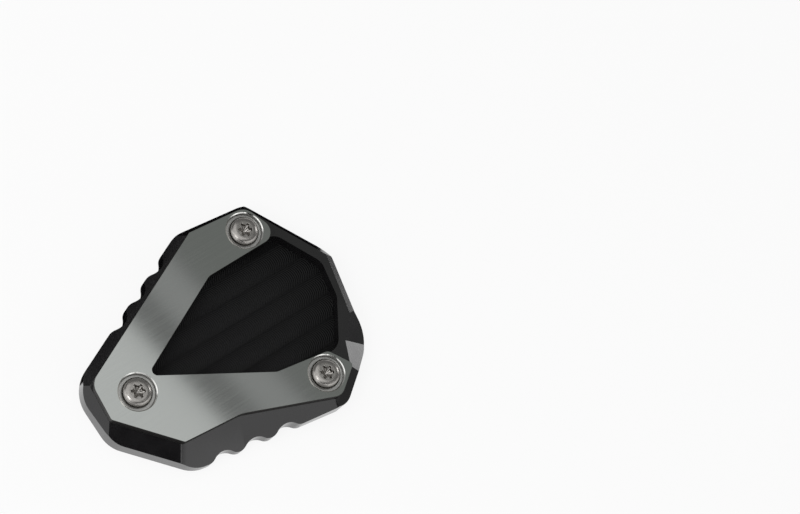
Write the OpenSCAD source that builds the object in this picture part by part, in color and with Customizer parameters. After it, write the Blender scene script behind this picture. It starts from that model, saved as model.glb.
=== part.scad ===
// Kickstand foot enlarger: a milled base plate with bevelled sides and a deep pocket,
// a V-shaped clamp plate that closes over the pocket's edge, and three button head screws.
// Sizes are in millimetres. +X runs from the toe to the heel, and +Z is up.
// Outlines are first drawn with the toe screw at [0, 0] and then centred on the whole part.

/* [Screw layout] */
// Distance of the left heel screw behind the toe screw
left_screw_x = 57.5; // [54:0.5:64]
// Distance of the left heel screw to the left of the toe screw
left_screw_y = 25.5; // [24:0.5:30]
// Distance of the right heel screw behind the toe screw
right_screw_x = 53.5; // [50:0.5:60]
// Distance of the right heel screw to the right of the toe screw
right_screw_y = 25.5; // [24:0.5:30]

/* [Base plate] */
// Height of the base, up to the face under the clamp plate
base_h = 9; // [8:0.5:12]
// Thickness of the floor of the pocket
floor_t = 4; // [2.5:0.5:5]
// Radius of the upright corners of the base
corner_r = 10; // [6:0.5:12]
// Radius of the tight corner behind the left heel screw
rear_corner_r = 5; // [3:0.5:7]

/* [Bevels] */
// Slope of the bevel behind the left heel screw, in degrees
left_rear_slope = 56; // [52:1:58]
// Slope of the long bevel on the left
left_slope = 47; // [42:1:50]
// Slope of the bevel to the left of the toe
toe_left_slope = 56; // [50:1:60]
// Slope of the broad bevels at the toe and along the right side
broad_slope = 33; // [28:1:36]
// Slope of the bevel on the corner beside the right heel screw
right_corner_slope = 23; // [20:1:26]
// Slope of the two bevels behind the right heel screw
heel_right_slope = 26; // [23:1:29]
// Slope of the bevel across the heel
heel_back_slope = 20; // [16:1:22]
// Slope of the bevel from the heel to the left heel screw
heel_left_slope = 52; // [48:1:56]

/* [Grip scallops] */
// Number of scallops in each long side
scallop_count = 3; // [1:1:3]
// Distance from one scallop to the next
scallop_pitch = 10.7; // [9:0.1:11]
// Depth of a scallop
scallop_depth = 2; // [1:0.1:2.4]
// Radius at the bottom of a scallop
scallop_r = 4.8; // [3.6:0.2:5.2]

/* [Clamp plate] */
// Thickness of the clamp plate
plate_t = 3; // [2.5:0.1:4]
// Depth of the round seats for the screw heads
seat_depth = 1.8; // [1:0.1:1.8]
// Gap round a screw head in its seat
seat_gap = 1; // [0.6:0.1:1.1]

/* [Screws] */
// Thread diameter
thread_d = 5; // [4:0.5:5]
// Length of a screw under its head
screw_len = 8; // [6:1:9]
// Diameter of a head
head_d = 9.5; // [8:0.25:9.5]
// Height of a head
head_h = 2.75; // [2.2:0.05:3]
// Diameter across the points of the six-lobe recess
recess_d = 4.5; // [3.5:0.1:4.6]
// Depth of the six-lobe recess
recess_depth = 1.5; // [1:0.1:1.8]

/* [Pocket] */
// Wall left between the pocket and a screw hole
pocket_wall = 2.5; // [2:0.1:3]
// Radius of the pocket's nose
nose_r = 6.3; // [5.5:0.1:7]
// Radius of the other corners of the pocket
pocket_corner_r = 5; // [3:0.5:7]

/* [Hidden] */

$fn = 64;
// Angle between two points of a rounded corner
arc_step = 6;
// Overlap of a cut past the face that it opens
cut_past = 1;
// How far a bevel cut reaches out from its edge, and past the ends of the edge
bevel_reach = 30;
// Gap between a screw and the thread in the base, and between a screw and the clamp plate
thread_gap = 0.05;
plate_hole_gap = 0.25;
// Chamfer at the tip of a screw and at the lower mouth of its hole
tip_chamfer = 0.8;
hole_chamfer = 0.5;
// Height of the straight edge of a screw head, and radius of the flat on its top
head_edge_h = 0.4;
head_top_r = 2.6;

toe_screw_at = [0, 0];
left_screw_at = [left_screw_x, left_screw_y];
right_screw_at = [right_screw_x, -right_screw_y];
screw_hole_r = thread_d / 2 + thread_gap;
plate_top = base_h + plate_t;
head_seat_z = plate_top - seat_depth;
pocket_side = screw_hole_r + pocket_wall;

// Corners are written [x, y, radius] from the nearest screw, and moved to that screw's place
function at(screw, corners) = [for (c = corners) [screw.x + c.x, screw.y + c.y, c.z]];

// Outer corners of the clamp plate and, below them, of the flat top of the base
left_corners = at(left_screw_at, [[4.5, 6.4, 5], [-15.7, 8.2, 1]]);
toe_corners = at(toe_screw_at, [[-10.4, 9.3, 5], [-11.5, -3, 1], [3.6, -20.2, 1]]);
right_corners = at(right_screw_at, [[-30.2, 3.4, 10], [0.2, -8.5, 4], [9.3, -2, 1.5]]);

// Inner corners of the clamp plate, from the right lobe by the notch to the left lobe
inner_corners = concat(
    at(right_screw_at, [[4.6, 5.6, 2.5], [-13.2, 8.5, 4]]),
    at(toe_screw_at, [[5.4, 2.6, 1.6]]),
    at(left_screw_at, [[-18.2, -6.7, 4], [9.6, -6.4, 4.1]])
);

// The flat top of the base also runs round the heel, behind the clamp plate
top_corners = concat(
    at(left_screw_at, [[5.5, 6.4, 0], [-15.7, 8.2, 0]]),
    toe_corners,
    right_corners,
    at(right_screw_at, [[12.7, 5.6, 0], [19.2, 12.2, 0]]),
    at(left_screw_at, [[19.8, -19.2, 0]])
);

// Slopes of the bevels, each from the top corner of the same number to the next one
slopes = [
    left_rear_slope, left_slope, toe_left_slope,
    broad_slope, broad_slope, broad_slope, right_corner_slope,
    heel_right_slope, heel_right_slope, heel_back_slope, heel_left_slope
];
// Bevels that meet the next one in a valley, at the two inward corners of the flat top
valley_bevels = [4, 7];
// All the others, which end in ridges
ridge_bevels = [0, 1, 2, 3, 6, 9, 10];

// Corners of the upright sides of the base
rim_left = at(left_screw_at, [[6.6, 8, rear_corner_r], [-17.7, 10.7, corner_r]]);
rim_toe = at(toe_screw_at, [[-13.4, 11.7, 1.2 * corner_r], [-13.4, -8.3, corner_r], [4.3, -28.4, corner_r]]);
rim_right = at(right_screw_at, [[2.1, -11.2, 0.6 * corner_r], [21.2, 2.6, 1.3 * corner_r], [21.1, 11.9, 0]]);
rim_heel = at(left_screw_at, [[21.8, -18.1, corner_r]]);
rim_corners = concat(rim_left, rim_toe, rim_right, rim_heel);
// Distance from the first corner of each scalloped side to its first scallop
left_scallops_start = 6.8;
right_scallops_start = 4.6;

// Corners of the pocket, from its nose by the right heel screw to the left one
pocket_corners = concat(
    at(toe_screw_at, [[-1.4, 3, nose_r]]),
    at(right_screw_at, [
        [-13.9, pocket_side, pocket_corner_r],
        [9.7, pocket_side, pocket_corner_r],
        [18.8, 18.7, pocket_corner_r]
    ]),
    at(left_screw_at, [
        [17.1, -20.5, pocket_corner_r],
        [8.8, -pocket_side, pocket_corner_r],
        [-21.3, -pocket_side, pocket_corner_r]
    ])
);

// Length of a side that one rounding may take: half, or nearly all beside a plain point
function room_along(a, b) = norm([b.x - a.x, b.y - a.y]) * (a.z * b.z == 0 ? 0.9 : 0.5);

// Turn from one direction to another, between -180 and 180 degrees
function turn_between(from, to) = (to - from + 540) % 360 - 180;

// Points of the arc that rounds corner b on the way from a to c
function corner_arc(a, b, c) =
    let (
        heading = atan2(b.y - a.y, b.x - a.x),
        turn = turn_between(heading, atan2(c.y - b.y, c.x - b.x)),
        side = sign(turn),
        room = min(room_along(a, b), room_along(b, c)),
        r = min(b.z, room / tan(abs(turn) / 2)),
        back = r * tan(abs(turn) / 2),
        centre = [
            b.x - back * cos(heading) - side * r * sin(heading),
            b.y - back * sin(heading) + side * r * cos(heading)
        ],
        steps = ceil(abs(turn) / arc_step)
    )
    r == 0 ? [[b.x, b.y]] : [
        for (i = [0 : steps])
            let (angle = heading - side * 90 + turn * i / steps)
            centre + r * [cos(angle), sin(angle)]
    ];

// Closed outline through rounded corners
function rounded(corners) =
    let (n = len(corners))
    [for (i = [0 : n - 1]) each corner_arc(corners[(i + n - 1) % n], corners[i], corners[(i + 1) % n])];

// A scallop is a dip arc between two half crest arcs that touch the side
radii_sum = (pow(scallop_pitch / 2, 2) + pow(scallop_depth, 2)) / (2 * scallop_depth);
crest_r = radii_sum - scallop_r;
arc_half = asin(scallop_pitch / 2 / radii_sum);
arc_points = ceil(arc_half / arc_step);

// Points of one scallop, as [distance along the side, distance out of it]
scallop = concat(
    [for (i = [0 : arc_points]) let (a = arc_half * i / arc_points)
        [crest_r * sin(a), crest_r * (cos(a) - 1)]],
    [for (i = [1 - arc_points : arc_points]) let (a = arc_half * i / arc_points)
        [scallop_pitch / 2 + scallop_r * sin(a), scallop_r * (1 - cos(a)) - scallop_depth]],
    [for (i = [1 - arc_points : -1]) let (a = arc_half * i / arc_points)
        [scallop_pitch + crest_r * sin(a), crest_r * (cos(a) - 1)]]
);

// Row of scallops on the side from corner a to corner b, closed outside the base
module scallop_row(a, b, start) {
    along = [b.x - a.x, b.y - a.y] / norm([b.x - a.x, b.y - a.y]);
    outward = [along.y, -along.x];
    first = [a.x, a.y] + start * along;
    last = first + scallop_count * scallop_pitch * along;
    wave = [
        for (i = [0 : scallop_count - 1], p = scallop)
            first + (i * scallop_pitch + p.x) * along + p.y * outward
    ];
    translate([0, 0, -cut_past])
        linear_extrude(height = base_h + 2 * cut_past)
            polygon(concat(wave, [last + cut_past * outward, first + cut_past * outward]));
}

// Moves the middle of the rim to the origin
rim_outline = rounded(rim_corners);
rim_x = [for (p = rim_outline) p.x];
rim_y = [for (p = rim_outline) p.y];
to_middle = -[(min(rim_x) + max(rim_x)) / 2, (min(rim_y) + max(rim_y)) / 2, 0];

// All that stands above a bevel and outside its edge
module over_bevel(i) {
    from = top_corners[i];
    to = top_corners[(i + 1) % len(top_corners)];
    length = norm([to.x - from.x, to.y - from.y]);
    translate([from.x, from.y, base_h])
        rotate([90, 0, atan2(to.y - from.y, to.x - from.x) + 90])
            translate([0, 0, -bevel_reach])
                linear_extrude(height = length + 2 * bevel_reach)
                    polygon([
                        [0, 0],
                        [-bevel_reach, -bevel_reach * tan(slopes[i])],
                        [-bevel_reach, cut_past],
                        [0, cut_past]
                    ]);
}

// Upright sides below, flat bevels up to the flat top above
module base_block() {
    difference() {
        linear_extrude(height = base_h)
            polygon(rim_outline);
        for (i = ridge_bevels)
            over_bevel(i);
        for (i = valley_bevels)
            intersection() {
                over_bevel(i);
                over_bevel(i + 1);
            }
    }
}

module screw_hole() {
    translate([0, 0, -cut_past])
        cylinder(r = screw_hole_r, h = base_h + 2 * cut_past);
    translate([0, 0, -cut_past])
        cylinder(r1 = screw_hole_r + hole_chamfer + cut_past, r2 = screw_hole_r, h = hole_chamfer + cut_past);
}

module base_plate() {
    color("#2b2a2c")
        translate(to_middle)
            difference() {
                base_block();
                scallop_row(rim_left[1], rim_toe[0], left_scallops_start);
                scallop_row(rim_toe[2], rim_right[0], right_scallops_start);
                translate([0, 0, floor_t])
                    linear_extrude(height = base_h)
                        polygon(rounded(pocket_corners));
                for (place = [toe_screw_at, left_screw_at, right_screw_at])
                    translate(place)
                        screw_hole();
            }
}

module clamp_plate() {
    color("#9a9d9c")
        translate(to_middle)
            difference() {
                translate([0, 0, base_h])
                    linear_extrude(height = plate_t)
                        polygon(rounded(concat(left_corners, toe_corners, right_corners, inner_corners)));
                for (place = [toe_screw_at, left_screw_at, right_screw_at])
                    translate(place) {
                        translate([0, 0, base_h - cut_past])
                            cylinder(r = thread_d / 2 + plate_hole_gap, h = plate_t + 2 * cut_past);
                        translate([0, 0, head_seat_z])
                            cylinder(r = head_d / 2 + seat_gap, h = seat_depth + cut_past);
                    }
            }
}

// Side view of half a domed head, seated on z = 0
module head_profile() {
    dome_h = head_h - head_edge_h;
    rise = head_d / 2 - head_top_r;
    // The dome is an arc through the edge and the rim of the flat top, level at the flat
    dome_r = (pow(rise, 2) + pow(dome_h, 2)) / (2 * dome_h);
    dome_angle = asin(rise / dome_r);
    dome_steps = ceil(dome_angle / arc_step);
    polygon(concat(
        [[0, 0], [head_d / 2, 0]],
        [for (i = [dome_steps : -1 : 0])
            let (a = dome_angle * i / dome_steps)
            [head_top_r + dome_r * sin(a), head_h - dome_r * (1 - cos(a))]],
        [[0, head_h]]
    ));
}

// Six-lobe recess: a round hole with six bulges left standing between its points
module six_lobe_recess() {
    bulge_r = recess_d / 5;
    translate([0, 0, head_h - recess_depth])
        linear_extrude(height = recess_depth + cut_past)
            difference() {
                circle(d = recess_d);
                for (i = [0 : 5])
                    rotate(60 * i)
                        translate([recess_d * 0.36 + bulge_r, 0])
                            circle(r = bulge_r);
            }
}

module screw(place) {
    color("#b9b7b2")
        translate(to_middle + [place.x, place.y, head_seat_z]) {
            difference() {
                rotate_extrude()
                    head_profile();
                six_lobe_recess();
            }
            translate([0, 0, tip_chamfer - screw_len])
                cylinder(d = thread_d, h = screw_len - tip_chamfer);
            translate([0, 0, -screw_len])
                cylinder(r1 = thread_d / 2 - tip_chamfer, r2 = thread_d / 2, h = tip_chamfer);
        }
}

module toe_screw() {
    screw(toe_screw_at);
}

module left_screw() {
    screw(left_screw_at);
}

module right_screw() {
    screw(right_screw_at);
}

base_plate();
clamp_plate();
toe_screw();
left_screw();
right_screw();
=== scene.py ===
# %% [markdown]
# # A kickstand foot enlarger
# This lesson dresses a screwed metal part: a black anodised base, a V of brushed
# stainless plate over it, and three button head screws. The solids come from the CAD
# model as a fixed frame, and here they get broken edges, finishes, light and a camera.

# %% Load the frame
import math

import bmesh
import bpy
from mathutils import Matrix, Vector


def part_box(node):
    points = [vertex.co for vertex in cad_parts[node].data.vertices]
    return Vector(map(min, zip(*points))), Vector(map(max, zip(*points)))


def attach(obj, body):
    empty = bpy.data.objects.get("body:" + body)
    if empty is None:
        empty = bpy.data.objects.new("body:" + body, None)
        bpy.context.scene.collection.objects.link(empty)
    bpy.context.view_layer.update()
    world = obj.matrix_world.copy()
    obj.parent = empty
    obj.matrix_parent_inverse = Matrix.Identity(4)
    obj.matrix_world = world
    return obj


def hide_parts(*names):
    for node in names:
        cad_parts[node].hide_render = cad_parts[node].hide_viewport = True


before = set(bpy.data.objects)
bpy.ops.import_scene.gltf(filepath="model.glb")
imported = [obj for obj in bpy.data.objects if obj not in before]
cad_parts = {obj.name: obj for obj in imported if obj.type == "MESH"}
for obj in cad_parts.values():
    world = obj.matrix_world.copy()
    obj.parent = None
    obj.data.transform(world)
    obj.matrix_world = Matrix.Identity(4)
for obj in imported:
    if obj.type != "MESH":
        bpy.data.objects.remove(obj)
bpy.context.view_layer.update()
MM = 0.001

# %% [markdown]
# ## Camera
# A product photo taken from above with a long lens keeps parallel edges nearly
# parallel. The lens could be guessed by eye, but here it comes from fitting a pinhole
# camera to the corners of the part, which also gives the place and the turn. The place
# is counted from the axis of the toe screw, the easiest point to find on the part.

# %% Camera


def screw_axis(place):
    """The point on a screw's axis at its tip."""
    low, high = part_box(f"{place}_screw")
    return Vector(((low.x + high.x) / 2, (low.y + high.y) / 2, low.z))


toe = screw_axis("toe")
camera_data = bpy.data.cameras.new("photo_camera")
camera_data.lens = 89.57
camera_data.sensor_width = 36
camera_data.clip_start = 0.01
camera = bpy.data.objects.new("photo_camera", camera_data)
camera.location = Vector((toe.x, toe.y, 0)) + Vector((-183.15, -64.17, 575.24)) * MM
camera.rotation_euler = [math.radians(a) for a in (19.6338, -18.7483, -36.4504)]
bpy.context.scene.collection.objects.link(camera)
bpy.context.scene.camera = camera
print("camera distance in mm:", round(camera.location.length / MM))

# %% [markdown]
# ## Broken edges
# No milled or stamped edge is a perfect knife edge: it is broken by a few tenths of a
# millimetre, and that narrow face catches the light. A bevel modifier could do it
# live, but the triangles of the CAD mesh get in its way, so each node is copied, its
# flat faces are joined again, and only its sharp edges are bevelled.

# %% Copy a solid and break its edges
# An edge that turns more, in degrees, is a real one, and not a strip of a round corner
SHARP_TURN = 28
# Points closer than this are one point, and faces that turn less, in degrees, one face
SAME_POINT = 0.002 * MM
SAME_FACE = 0.6


def flat_faced_copy(node, centre):
    """A working mesh of a CAD node with its flat faces joined. centre becomes its origin."""
    mesh = bmesh.new()
    mesh.from_mesh(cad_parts[node].data)
    bmesh.ops.translate(mesh, verts=mesh.verts, vec=-Vector(centre))
    bmesh.ops.remove_doubles(mesh, verts=mesh.verts, dist=SAME_POINT)
    flat = math.radians(SAME_FACE)
    bmesh.ops.dissolve_limit(mesh, angle_limit=flat, verts=mesh.verts, edges=mesh.edges)
    return mesh


def bevel(mesh, edges, width, segments):
    """Bevels these edges, with width in mm on each face."""
    bmesh.ops.bevel(
        mesh,
        geom=edges,
        offset=width * MM,
        offset_type="OFFSET",
        segments=segments,
        profile=0.5,
        affect="EDGES",
        clamp_overlap=True,
    )


def turn_of(edge):
    """Angle between the two faces of an edge, in degrees."""
    return math.degrees(edge.calc_face_angle()) if len(edge.link_faces) == 2 else 0


def sharp_edges(mesh):
    """The edges of a working mesh that a tool would break."""
    return [e for e in mesh.edges if turn_of(e) > SHARP_TURN]


# %% [markdown]
# ## Flat faces that look flat
# Smooth shading blends the normals of neighbouring faces, so a large flat face seems to
# bulge beside a narrow bevel. Flat shading would show every strip of the round corners
# instead. Here an edge stays sharp between two flat faces, and where one is flat it may
# turn only a little. A weighted normal modifier lets large faces win over narrow ones.

# %% Turn a working mesh into a piece
LARGE_FACE = 15 * MM * MM
# Up to this turn, in degrees, an edge is smooth, by how many of its faces are flat
SMOOTH_TURNS = {0: 48, 1: 12, 2: 0}


def is_flat(face):
    """Whether a face is large, or level as the plate's top is."""
    return face.calc_area() > LARGE_FACE or abs(face.normal.z) > 0.999


def piece_from(mesh, name, centre):
    """An object from a working mesh, shaded so that large flat faces stay flat."""
    for edge in mesh.edges:
        flats = sum(is_flat(f) for f in edge.link_faces)
        edge.smooth = turn_of(edge) < SMOOTH_TURNS[flats]
    for face in mesh.faces:
        face.smooth = True
    data = bpy.data.meshes.new(name)
    mesh.to_mesh(data)
    mesh.free()
    data.materials.clear()
    piece = bpy.data.objects.new(name, data)
    piece.location = centre
    bpy.context.scene.collection.objects.link(piece)
    normals = piece.modifiers.new("flat_faces", "WEIGHTED_NORMAL")
    normals.mode = "FACE_AREA"
    normals.weight = 80
    normals.keep_sharp = True
    print(name, "faces:", len(data.polygons))
    return piece


# %% [markdown]
# ## The base
# The ridge between the two broad bevels at the toe is blended by the cutter over about
# 2 mm, so it gets a wide rounding before the fine bevel goes round all the sharp edges.

# %% Base piece
RIDGE_ROUNDING = 1.2
BASE_EDGE = 0.2
# A face whose normal points up by this much is level
LEVEL = 0.99

mesh = flat_faced_copy("base_plate", (0, 0, 0))
base_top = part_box("clamp_plate")[0].z
# The corner where the two broad bevels meet, counted from the axis of the toe screw
corner = Vector((toe.x + 3.6 * MM, toe.y - 20.2 * MM, base_top))
at_corner = [v for v in mesh.verts if (v.co - corner).length < 0.3 * MM]
from_corner = {e for v in at_corner for e in v.link_edges}
ridge = [e for e in from_corner if min(v.co.z for v in e.verts) < base_top - MM]
print("ridge edges at the toe:", len(ridge))
bevel(mesh, ridge, RIDGE_ROUNDING, 4)
bevel(mesh, sharp_edges(mesh), BASE_EDGE, 2)
pocket_floor = min(f.calc_center_median().z for f in mesh.faces if f.normal.z > LEVEL)
base = piece_from(mesh, "milled_base", (0, 0, 0))
print("pocket floor in mm:", round(pocket_floor / MM, 2))

# %% [markdown]
# ## The clamp plate
# The plate is cut from sheet and deburred, so its edges are a little rounder. The mouths
# of the three screw seats are countersunk by a third of a millimetre. This shows in the
# photo as a bright ring, so it is a bevel of one segment, which stays a true cone, and
# its foot is lifted a little to make the cone as shallow as the ring needs.

# %% Plate piece
PLATE_EDGE = 0.3
# More than there is room for between the points of the mesh, so it comes out 0.32 wide
COUNTERSINK = 0.4
# How much of its depth the cone of a countersink keeps
CONE_DEPTH = 0.8
# In mm, just past the wall of a seat, and just past its countersink
SEAT_REACH = 5.9
MOUTH_REACH = 6.2

plate_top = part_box("clamp_plate")[1].z
screw_axes = [screw_axis(place) for place in ("toe", "left", "right")]


def near_a_screw(point, reach):
    """Whether a point is within reach, in mm, of the axis of a screw."""
    return any(math.hypot(point.x - a.x, point.y - a.y) < reach * MM for a in screw_axes)


def seat_mouths(mesh):
    """The edges of the screw seats in the plate's top."""
    high = [e for e in mesh.edges if min(v.co.z for v in e.verts) > plate_top - 0.01 * MM]
    round_seats = [e for e in high if all(near_a_screw(v.co, SEAT_REACH) for v in e.verts)]
    return [e for e in round_seats if turn_of(e) > 60]


mesh = flat_faced_copy("clamp_plate", (0, 0, 0))
mouths = set(seat_mouths(mesh))
bevel(mesh, [e for e in sharp_edges(mesh) if e not in mouths], PLATE_EDGE, 2)
mouths = seat_mouths(mesh)
bevel(mesh, mouths, COUNTERSINK, 1)
below_top = [v for v in mesh.verts if 0.05 * MM < plate_top - v.co.z < 0.6 * MM]
foot_of_cone = [v for v in below_top if near_a_screw(v.co, SEAT_REACH)]
for v in foot_of_cone:
    v.co.z = plate_top - (plate_top - v.co.z) * CONE_DEPTH
mesh.normal_update()
plate = piece_from(mesh, "brushed_clamp_plate", (0, 0, 0))
print("edges of the seat mouths:", len(mouths), "points lifted:", len(foot_of_cone))

# %% [markdown]
# ## The screws
# A button head is cold formed, and the drive recess ends in a shallow cone, left by the
# punch. The cone matters to the eye, because its slopes mirror the lamps as bright
# spots. Each screw's origin goes on its axis, which its finish needs later on.

# %% Screw pieces
SCREW_EDGE = 0.12
PUNCH_DEPTH = 1.0

screws = []
for place in ("toe", "left", "right"):
    mesh = flat_faced_copy(f"{place}_screw", screw_axis(place))
    level = [f for f in mesh.faces if f.normal.z > LEVEL and f.calc_area() > 5 * MM * MM]
    recess_floor = min(level, key=lambda f: f.calc_center_median().z)
    bmesh.ops.poke(mesh, faces=[recess_floor], offset=-PUNCH_DEPTH * MM)
    bevel(mesh, sharp_edges(mesh), SCREW_EDGE, 2)
    screws.append(piece_from(mesh, f"{place}_button_screw", screw_axis(place)))

# %% [markdown]
# ## Colours and nodes
# Colours are read off as sRGB hex values and turned to linear light by one function.
# Another adds any shader node with its settings: a socket as a value makes a link.

# %% Helpers for materials


def linear(hex_colour):
    """Linear RGBA of an sRGB hex value."""
    parts = [int(hex_colour[i : i + 2], 16) / 255 for i in (1, 3, 5)]
    return [p / 12.92 if p <= 0.04045 else ((p + 0.055) / 1.055) ** 2.4 for p in parts] + [1]


def add(tree, kind, inputs=None, **settings):
    """Adds a node with its settings and inputs."""
    made = tree.nodes.new(kind)
    for key, value in settings.items():
        setattr(made, key, value)
    for key, value in (inputs or {}).items():
        if isinstance(value, bpy.types.NodeSocket):
            tree.links.new(value, made.inputs[key])
        else:
            made.inputs[key].default_value = value
    return made


def new_material(name):
    """An empty material and its node tree."""
    made = bpy.data.materials.new(name)
    made.use_nodes = True
    made.node_tree.nodes.clear()
    return made, made.node_tree


# %% [markdown]
# ## Black anodised aluminium
# The milled base is blasted with fine grit and then anodised: a hard layer of aluminium
# oxide a few hundredths of a millimetre thick, dyed black. The eye sees a near black
# body under the clear, satin reflection of a glassy skin. So it is a dielectric and not
# a metal, with an IOR of 1.6, between that of solid oxide and that of the sealed pores
# in it.

# %% Finish of the base
anodised, tree = new_material("black_anodised_aluminium")
where = add(tree, "ShaderNodeTexCoord").outputs["Object"]
# Blasted grain of 0.25 mm, coarser than the real one so that it shows
grain = add(tree, "ShaderNodeTexNoise", {"Vector": where, "Scale": 1 / (0.25 * MM), "Detail": 2.0})
# Clouds of 6 mm, where the dye and the polish are a little uneven
clouds = add(tree, "ShaderNodeTexNoise", {"Vector": where, "Scale": 1 / (6 * MM), "Detail": 3.0})
dye = add(
    tree,
    "ShaderNodeMix",
    {0: clouds.outputs["Fac"], 6: linear("#0c0b0c"), 7: linear("#131214")},
    data_type="RGBA",
)
gloss = {"Value": clouds.outputs["Fac"], "To Min": 0.12, "To Max": 0.22}
polish = add(tree, "ShaderNodeMapRange", gloss)
blasted = {"Height": grain.outputs["Fac"], "Strength": 0.15, "Distance": 0.02 * MM}
bump = add(tree, "ShaderNodeBump", blasted)
skin = add(
    tree,
    "ShaderNodeBsdfPrincipled",
    {
        "Base Color": dye.outputs[2],
        "Roughness": polish.outputs["Result"],
        "IOR": 1.6,
        "Normal": bump.outputs["Normal"],
    },
)
add(tree, "ShaderNodeOutputMaterial", {"Surface": skin.outputs["BSDF"]})
base.data.materials.append(anodised)
print(anodised.name, "nodes:", len(tree.nodes))

# %% [markdown]
# ## Cutter marks and painted shade in the pocket
# The pocket's floor is left as an end mill cuts it: the cutter goes up and down in
# lanes, and each tooth leaves a shallow arc. An arc is the place where x minus the
# cutter's own curve is the same, so a sine of that difference draws all of them. Its
# colour is darker than the rest of the base and its mirror reflection is turned down,
# as painted shade for the shadow that falls deep in the pocket.

# %% Finish and painted shade of the pocket's floor
milled, tree = new_material("milled_anodised_painted_shade")
where = add(tree, "ShaderNodeTexCoord").outputs["Object"]
axes = add(tree, "ShaderNodeSeparateXYZ", {"Vector": where})
# Lanes of 7 mm, cut with a 9 mm end mill
lane = 7 * MM
cutter_r = 4.5 * MM
across = add(tree, "ShaderNodeMath", {0: axes.outputs["Y"], 1: lane / 2}, operation="PINGPONG")
squared = add(tree, "ShaderNodeMath", {0: across.outputs["Value"], 1: 2.0}, operation="POWER")
under_root = {0: cutter_r**2, 1: squared.outputs["Value"]}
chord = add(tree, "ShaderNodeMath", under_root, operation="SUBTRACT")
curve = add(tree, "ShaderNodeMath", {0: chord.outputs["Value"]}, operation="SQRT")
from_curve = {0: axes.outputs["X"], 1: curve.outputs["Value"]}
ahead = add(tree, "ShaderNodeMath", from_curve, operation="SUBTRACT")
# One arc every 0.7 mm, coarser than the real feed so that it shows
feed = 2 * math.pi / (0.7 * MM)
turns = add(tree, "ShaderNodeMath", {0: ahead.outputs["Value"], 1: feed}, operation="MULTIPLY")
arcs = add(tree, "ShaderNodeMath", {0: turns.outputs["Value"]}, operation="SINE")
cut = {"Height": arcs.outputs["Value"], "Strength": 1.0, "Distance": 0.04 * MM}
bump = add(tree, "ShaderNodeBump", cut)
# Painted shade: a darker colour than the rest of the base, and a weaker mirror reflection
skin = add(
    tree,
    "ShaderNodeBsdfPrincipled",
    {
        "Base Color": linear("#070708"),
        "Roughness": 0.45,
        "IOR": 1.6,
        "Specular IOR Level": 0.13,
        "Normal": bump.outputs["Normal"],
    },
)
add(tree, "ShaderNodeOutputMaterial", {"Surface": skin.outputs["BSDF"]})
base.data.materials.append(milled)
level_faces = [p for p in base.data.polygons if p.normal.z > LEVEL]
floor_faces = [p for p in level_faces if p.center.z < pocket_floor + 0.1 * MM]
for face in floor_faces:
    face.material_index = 1
print(milled.name, "nodes:", len(tree.nodes), "faces:", len(floor_faces))

# %% [markdown]
# ## Brushed stainless steel
# The clamp plate is cut from sheet that was brushed on a belt, so fine parallel
# scratches run from toe to heel. They spread a reflection sideways, which anisotropy
# does for the scratches too fine to see, along a tangent that follows a UV map, and
# stretched noise does for the few that the eye can pick out.

# %% Finish of the clamp plate
# The map is 100 mm wide with the part in its middle
uv = plate.data.uv_layers.new(name="brushing")
for loop in plate.data.loops:
    x, y, z = plate.data.vertices[loop.vertex_index].co
    uv.data[loop.index].uv = (x * 10 + 0.5, (y + z) * 10 + 0.5)

brushed, tree = new_material("brushed_stainless_steel")
where = add(tree, "ShaderNodeTexCoord").outputs["Object"]
# Scratches 24 mm long and 0.3 mm wide, wider than the real ones so that they show
scratch = (1 / (24 * MM), 1 / (0.3 * MM), 1 / (0.3 * MM))
stretched = add(tree, "ShaderNodeMapping", {"Vector": where, "Scale": scratch})
lines = {"Vector": stretched.outputs["Vector"], "Scale": 1.0, "Detail": 3.0}
scratches = add(tree, "ShaderNodeTexNoise", lines)
shade = add(
    tree,
    "ShaderNodeMix",
    {0: scratches.outputs["Fac"], 6: linear("#9b9e9c"), 7: linear("#a6a9a6")},
    data_type="RGBA",
)
gloss = {"Value": scratches.outputs["Fac"], "To Min": 0.045, "To Max": 0.075}
satin = add(tree, "ShaderNodeMapRange", gloss)
ground = {"Height": scratches.outputs["Fac"], "Strength": 0.03, "Distance": 0.02 * MM}
bump = add(tree, "ShaderNodeBump", ground)
along = add(tree, "ShaderNodeTangent", direction_type="UV_MAP", uv_map="brushing")
steel = add(
    tree,
    "ShaderNodeBsdfPrincipled",
    {
        "Base Color": shade.outputs[2],
        "Metallic": 1.0,
        "Roughness": satin.outputs["Result"],
        "Anisotropic": 0.5,
        "Normal": bump.outputs["Normal"],
        "Tangent": along.outputs["Tangent"],
    },
)
add(tree, "ShaderNodeOutputMaterial", {"Surface": steel.outputs["BSDF"]})
plate.data.materials.append(brushed)
print(brushed.name, "nodes:", len(tree.nodes))

# %% [markdown]
# ## Milled seats, with painted light
# The seats are sunk into the sheet after it is brushed, so they are as the cutter leaves
# them: duller and rougher than the top. Their colour is paler than the top, as painted
# light that lifts the shade inside the seats. They share the plate's mesh, as a second
# material on the faces close round a screw and below the countersink.

# %% Finish of the seats
seat_painted_light, tree = new_material("milled_seat_painted_light")
where = add(tree, "ShaderNodeTexCoord").outputs["Object"]
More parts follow.
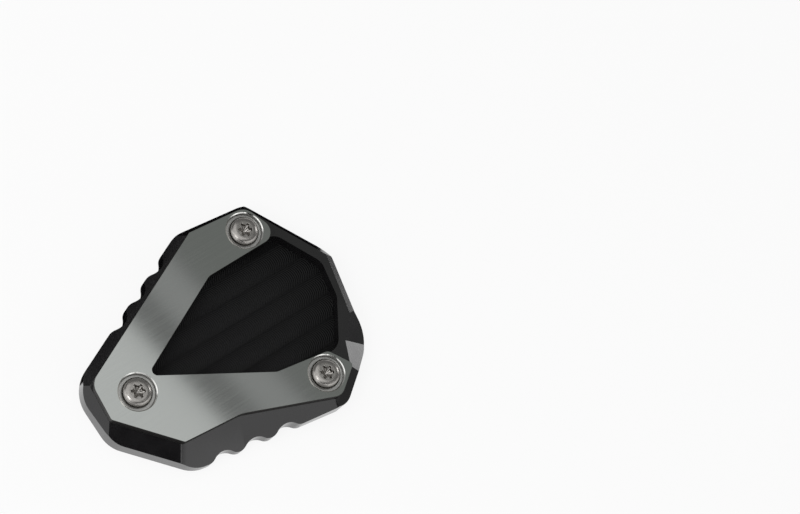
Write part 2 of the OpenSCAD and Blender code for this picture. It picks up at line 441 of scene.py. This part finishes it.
# Chatter marks of 0.4 mm
chatter = add(tree, "ShaderNodeTexNoise", {"Vector": where, "Scale": 1 / (0.4 * MM), "Detail": 2.0})
# Paler than the plate's top: painted light that lifts the shade in the seats
shade = add(
    tree,
    "ShaderNodeMix",
    {0: chatter.outputs["Fac"], 6: linear("#a6a6a4"), 7: linear("#bcbcb9")},
    data_type="RGBA",
)
torn = {"Height": chatter.outputs["Fac"], "Strength": 0.3, "Distance": 0.05 * MM}
bump = add(tree, "ShaderNodeBump", torn)
steel = add(
    tree,
    "ShaderNodeBsdfPrincipled",
    {
        "Base Color": shade.outputs[2],
        "Metallic": 1.0,
        "Roughness": 0.38,
        "Normal": bump.outputs["Normal"],
    },
)
add(tree, "ShaderNodeOutputMaterial", {"Surface": steel.outputs["BSDF"]})
plate.data.materials.append(seat_painted_light)
low_faces = [p for p in plate.data.polygons if p.center.z < plate_top - 0.4 * MM]
seat_faces = [p for p in low_faces if near_a_screw(p.center, SEAT_REACH)]
for face in seat_faces:
    face.material_index = 1
print(seat_painted_light.name, "nodes:", len(tree.nodes), "faces:", len(seat_faces))

# %% [markdown]
# ## Countersinks with a painted highlight
# The countersink goes over the mouth of each seat last, with a sharp tool, and leaves it
# smoother than the seat below it, with faint marks of its own. Its colour is paler than
# any other steel on the part, a painted highlight, so the eye reads it as a thin bright line.

# %% Finish of the countersinks
countersink_highlight, tree = new_material("countersink_painted_highlight")
where = add(tree, "ShaderNodeTexCoord").outputs["Object"]
# Tool marks of 0.2 mm
marks = add(tree, "ShaderNodeTexNoise", {"Vector": where, "Scale": 1 / (0.2 * MM), "Detail": 1.0})
# Paler than real steel: a painted highlight on each countersink
shade = add(
    tree,
    "ShaderNodeMix",
    {0: marks.outputs["Fac"], 6: linear("#cfcfcc"), 7: linear("#dfdfdc")},
    data_type="RGBA",
)
steel = add(
    tree,
    "ShaderNodeBsdfPrincipled",
    {"Base Color": shade.outputs[2], "Metallic": 1.0, "Roughness": 0.15},
)
add(tree, "ShaderNodeOutputMaterial", {"Surface": steel.outputs["BSDF"]})
plate.data.materials.append(countersink_highlight)
# The cones are told from the rounded rim by how much they point up
sloping = [p for p in plate.data.polygons if 0.7 < p.normal.z < 0.85]
high_slopes = [p for p in sloping if p.center.z > plate_top - 0.3 * MM]
cone_faces = [p for p in high_slopes if near_a_screw(p.center, MOUTH_REACH)]
for face in cone_faces:
    face.material_index = 2
print(countersink_highlight.name, "nodes:", len(tree.nodes), "faces:", len(cone_faces))

# %% [markdown]
# ## Cut edges with painted shade
# The outline is cut with a laser, which leaves fine upright grooves. Their colour is a
# dark steel, as painted shade: seen from above only the rounded rim of it shows, as a
# thin dark line that parts the bright top from the base. It goes on all that slopes or
# stands outside the seats.

# %% Finish of the cut edges
cut_edge_shaded, tree = new_material("cut_edge_painted_shade")
where = add(tree, "ShaderNodeTexCoord").outputs["Object"]
# Grooves 0.25 mm apart, a little coarser than the real ones, and longer than the sheet is
# thick, so that they run from face to face
groove = (1 / (0.25 * MM), 1 / (0.25 * MM), 1 / (4 * MM))
upright = add(tree, "ShaderNodeMapping", {"Vector": where, "Scale": groove})
lines = {"Vector": upright.outputs["Vector"], "Scale": 1.0, "Detail": 2.0}
grooves = add(tree, "ShaderNodeTexNoise", lines)
# Dark steel: painted shade for the thin dark line between the plate and the base
shade = add(
    tree,
    "ShaderNodeMix",
    {0: grooves.outputs["Fac"], 6: linear("#2b2a29"), 7: linear("#454443")},
    data_type="RGBA",
)
ribbed = {"Height": grooves.outputs["Fac"], "Strength": 0.4, "Distance": 0.04 * MM}
bump = add(tree, "ShaderNodeBump", ribbed)
steel = add(
    tree,
    "ShaderNodeBsdfPrincipled",
    {
        "Base Color": shade.outputs[2],
        "Metallic": 1.0,
        "Roughness": 0.4,
        "Normal": bump.outputs["Normal"],
    },
)
add(tree, "ShaderNodeOutputMaterial", {"Surface": steel.outputs["BSDF"]})
plate.data.materials.append(cut_edge_shaded)
not_level = [p for p in plate.data.polygons if abs(p.normal.z) < 0.98]
cut_faces = [p for p in not_level if not near_a_screw(p.center, MOUTH_REACH)]
for face in cut_faces:
    face.material_index = 3
print(cut_edge_shaded.name, "nodes:", len(tree.nodes), "faces:", len(cut_faces))

# %% [markdown]
# ## Turned stainless screws
# A stainless head is cold formed and then turned, which leaves fine rings round its
# axis. Each screw's origin is on its axis, so the distance from the axis in object
# coordinates draws the rings on all three with one material.

# %% Finish of the screws
turned, tree = new_material("turned_stainless_steel")
where = add(tree, "ShaderNodeTexCoord").outputs["Object"]
flat = add(tree, "ShaderNodeVectorMath", {0: where, 1: (1.0, 1.0, 0.0)}, operation="MULTIPLY")
radius = add(tree, "ShaderNodeVectorMath", {0: flat.outputs["Vector"]}, operation="LENGTH")
# One ring every 0.4 mm, coarser than the real ones
ring = 2 * math.pi / (0.4 * MM)
turns = add(tree, "ShaderNodeMath", {0: radius.outputs["Value"], 1: ring}, operation="MULTIPLY")
rings = add(tree, "ShaderNodeMath", {0: turns.outputs["Value"]}, operation="SINE")
clouds = add(tree, "ShaderNodeTexNoise", {"Vector": where, "Scale": 1 / (0.8 * MM), "Detail": 3.0})
patchy = {0: rings.outputs["Value"], 1: clouds.outputs["Fac"]}
uneven = add(tree, "ShaderNodeMath", patchy, operation="MULTIPLY")
shade = add(
    tree,
    "ShaderNodeMix",
    {0: clouds.outputs["Fac"], 6: linear("#868481"), 7: linear("#adaaa6")},
    data_type="RGBA",
)
worked = {"Height": uneven.outputs["Value"], "Strength": 0.3, "Distance": 0.03 * MM}
bump = add(tree, "ShaderNodeBump", worked)
steel = add(
    tree,
    "ShaderNodeBsdfPrincipled",
    {
        "Base Color": shade.outputs[2],
        "Metallic": 1.0,
        "Roughness": 0.24,
        "Normal": bump.outputs["Normal"],
    },
)
add(tree, "ShaderNodeOutputMaterial", {"Surface": steel.outputs["BSDF"]})
for screw in screws:
    screw.data.materials.append(turned)
print(turned.name, "nodes:", len(tree.nodes))

# %% [markdown]
# ## Onto the frame
# Each dressed piece stands for its CAD node and rides on the one rigid body.

# %% Ride and replace
for piece, node, slot in [
    (base, "base_plate", "black_anodised_aluminium"),
    (plate, "clamp_plate", "brushed_stainless_plate"),
    (screws[0], "toe_screw", "stainless_screw"),
    (screws[1], "left_screw", "stainless_screw"),
    (screws[2], "right_screw", "stainless_screw"),
]:
    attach(piece, "root")
    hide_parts(node)

# %% [markdown]
# ## Studio floor
# The photo has a white ground. A white floor under plain light would still turn grey
# away from the lamps, so to the camera most of its white is its own and the rest is
# lit, which keeps a faint shadow under the part. Reflections see it white as well. It
# lies a hair below the sole, so that the two faces don't flicker into each other, and
# it can be looked through from its underside, which leaves the sole in sight.

# %% Floor


def stage_sheet(name, low, high, z):
    """A level rectangle of the studio, from corner low to corner high."""
    sheet = bpy.data.meshes.new(name)
    (x0, y0), (x1, y1) = low, high
    corners = [(x0, y0, z), (x1, y0, z), (x1, y1, z), (x0, y1, z)]
    sheet.from_pydata(corners, [], [(0, 1, 2, 3)])
    made = bpy.data.objects.new(name, sheet)
    bpy.context.scene.collection.objects.link(made)
    return made


floor = stage_sheet("studio_floor", (-30, -30), (30, 30), -0.05 * MM)
paper, tree = new_material("white_paper")
lit = add(tree, "ShaderNodeBsdfDiffuse", {"Color": linear("#f2f2f2")})
own = add(tree, "ShaderNodeEmission", {"Color": linear("#ffffff"), "Strength": 1.0})
seen = add(tree, "ShaderNodeLightPath")
by_camera = {0: seen.outputs["Is Camera Ray"], 1: 0.87}
viewed = add(tree, "ShaderNodeMath", by_camera, operation="MULTIPLY")
by_surface = {0: seen.outputs["Is Glossy Ray"], 1: seen.outputs["Is Transmission Ray"]}
mirrored = add(tree, "ShaderNodeMath", by_surface, operation="MAXIMUM")
by_any = {0: viewed.outputs["Value"], 1: mirrored.outputs["Value"]}
share = add(tree, "ShaderNodeMath", by_any, operation="MAXIMUM")
both = add(
    tree,
    "ShaderNodeMixShader",
    {0: share.outputs["Value"], 1: lit.outputs["BSDF"], 2: own.outputs["Emission"]},
)
side = add(tree, "ShaderNodeNewGeometry")
nothing = add(tree, "ShaderNodeBsdfTransparent")
topside = add(
    tree,
    "ShaderNodeMixShader",
    {0: side.outputs["Backfacing"], 1: both.outputs["Shader"], 2: nothing.outputs["BSDF"]},
)
add(tree, "ShaderNodeOutputMaterial", {"Surface": topside.outputs["Shader"]})
floor.data.materials.append(paper)

# %% [markdown]
# ## Black cards
# A black part is drawn by what it does not mirror. The steep bevels on the left look
# down at the floor and would turn grey in its white, so black card lies on that side,
# the far sheet further off than the near one, because the bevel round the toe does
# mirror white floor. A third card hangs where the facet at the toe looks. They are seen
# by reflections alone, so they stay out of the picture.

# %% Cards
felt, tree = new_material("black_felt")
matt = add(tree, "ShaderNodeBsdfDiffuse", {"Color": linear("#0a0a0a")})
add(tree, "ShaderNodeOutputMaterial", {"Surface": matt.outputs["BSDF"]})
# The sheets lie on the left, and the floor between them and the toe is left white
near_card = stage_sheet("near_black_card", (-0.043, 0.012), (0.075, 0.4), 0.3 * MM)
far_card = stage_sheet("far_black_card", (-0.12, 0.06), (-0.043, 0.4), 0.3 * MM)
hung_card = stage_sheet("hung_black_card", (-0.21, -0.13), (0.21, 0.13), 0)


def stand(thing, azimuth, elevation, distance):
    """Stands a card or lamp at these angles, in degrees, and turns it to the part."""
    flat = distance * math.cos(math.radians(elevation))
    x, y = flat * math.cos(math.radians(azimuth)), flat * math.sin(math.radians(azimuth))
    thing.location = (x, y, distance * math.sin(math.radians(elevation)))
    thing.rotation_euler = thing.location.to_track_quat("Z", "Y").to_euler()


stand(hung_card, -133, 41, 1.0)
for card in (near_card, far_card, hung_card):
    card.visible_camera = False
    card.visible_diffuse = False
    card.visible_transmission = False
    card.visible_shadow = False
    card.data.materials.append(felt)

# %% [markdown]
# ## Light
# Metal shows what stands round it, so the light is built from soft lamps and a dim
# world. The flat plate mirrors the ceiling: a large softbox lights the toe end, it stops
# short, and dimmer ones take over, which gives the plate its dark band and its darker
# arms. They hang level, a little turned, as the band is in the photo.

# %% World
world = bpy.data.worlds.new("studio")
bpy.context.scene.world = world
world.use_nodes = True
tree = world.node_tree
tree.nodes.clear()
dim = add(tree, "ShaderNodeBackground", {"Color": linear("#ffffff"), "Strength": 0.28})
add(tree, "ShaderNodeOutputWorld", {"Surface": dim.outputs["Background"]})

# %% Lamps overhead


def softbox(name, place, width, height, radiance):
    """A rectangular lamp, hung level to shine down, whose power gives it this radiance."""
    data = bpy.data.lights.new(name, "AREA")
    data.shape = "RECTANGLE"
    data.size, data.size_y = width, height
    data.energy = radiance * math.pi * width * height
    lamp = bpy.data.objects.new(name, data)
    lamp.location = place
    bpy.context.scene.collection.objects.link(lamp)
    return lamp


# The point that the dark band mirrors, and the turn of the band
band = Vector((0.335, 0.105, 1.0))
band_turn = math.radians(9.5)
band_across = Vector((math.cos(band_turn), math.sin(band_turn), 0))
band_along = Vector((-math.sin(band_turn), math.cos(band_turn), 0))
# Each lamp runs from start to end across the band, and its middle is shifted along it
for name, start, end, shift, height, radiance in [
    ("top_softbox", -1.72, -0.008, 0.45, 1.75, 0.84),
    ("middle_softbox", 0.021, 0.057, 0.0, 0.8, 0.3),
    ("rear_softbox", 0.066, 0.4, 0.0, 0.8, 0.06),
]:
    place = band + band_across * (start + end) / 2 + band_along * shift
    lamp = softbox(name, place, end - start, height, radiance)
    lamp.rotation_euler.z = band_turn
# The rear one is a little green, as the far ends of the arms are
lamp.data.color = (0.85, 1.0, 0.8)
print("the dark band is mirrored from", round(band.length, 2), "m away")

# %% [markdown]
# ## Lamps at the sides
# Each side lamp stands where one group of faces mirrors it to the camera: the countersunk
# seats, the ridge at the toe, the right side, and the narrow bevel behind the right
# screw. Like the hung card, it is placed by compass angle, height angle and distance,
# since a mirrored ray gives angles. The two low ones are wide, so that the plate still
# reads as steel when it is seen from the heel or from the left.

# %% Lamps at the sides
for name, azimuth, elevation, width, height, radiance in [
    ("toe_softbox", 162, 19, 1.6, 0.63, 1.0),
    ("toe_right_strip", -138, 26, 1.35, 0.22, 1.05),
    ("right_low_strip", -70, 15.5, 1.6, 0.47, 0.78),
    ("ridge_strip", -110, 37, 0.08, 0.3, 2.2),
    ("right_softbox", -80, 32, 0.85, 0.42, 0.8),
    ("heel_softbox", -7.5, 18, 0.28, 0.33, 4.0),
    ("key_softbox", 175, 50, 0.35, 0.35, 5.0),
]:
    stand(softbox(name, (0, 0, 0), width, height, radiance), azimuth, elevation, 1.2)

# %% [markdown]
# ## Finish

# %% Colour management
bpy.context.scene.view_settings.view_transform = "Standard"
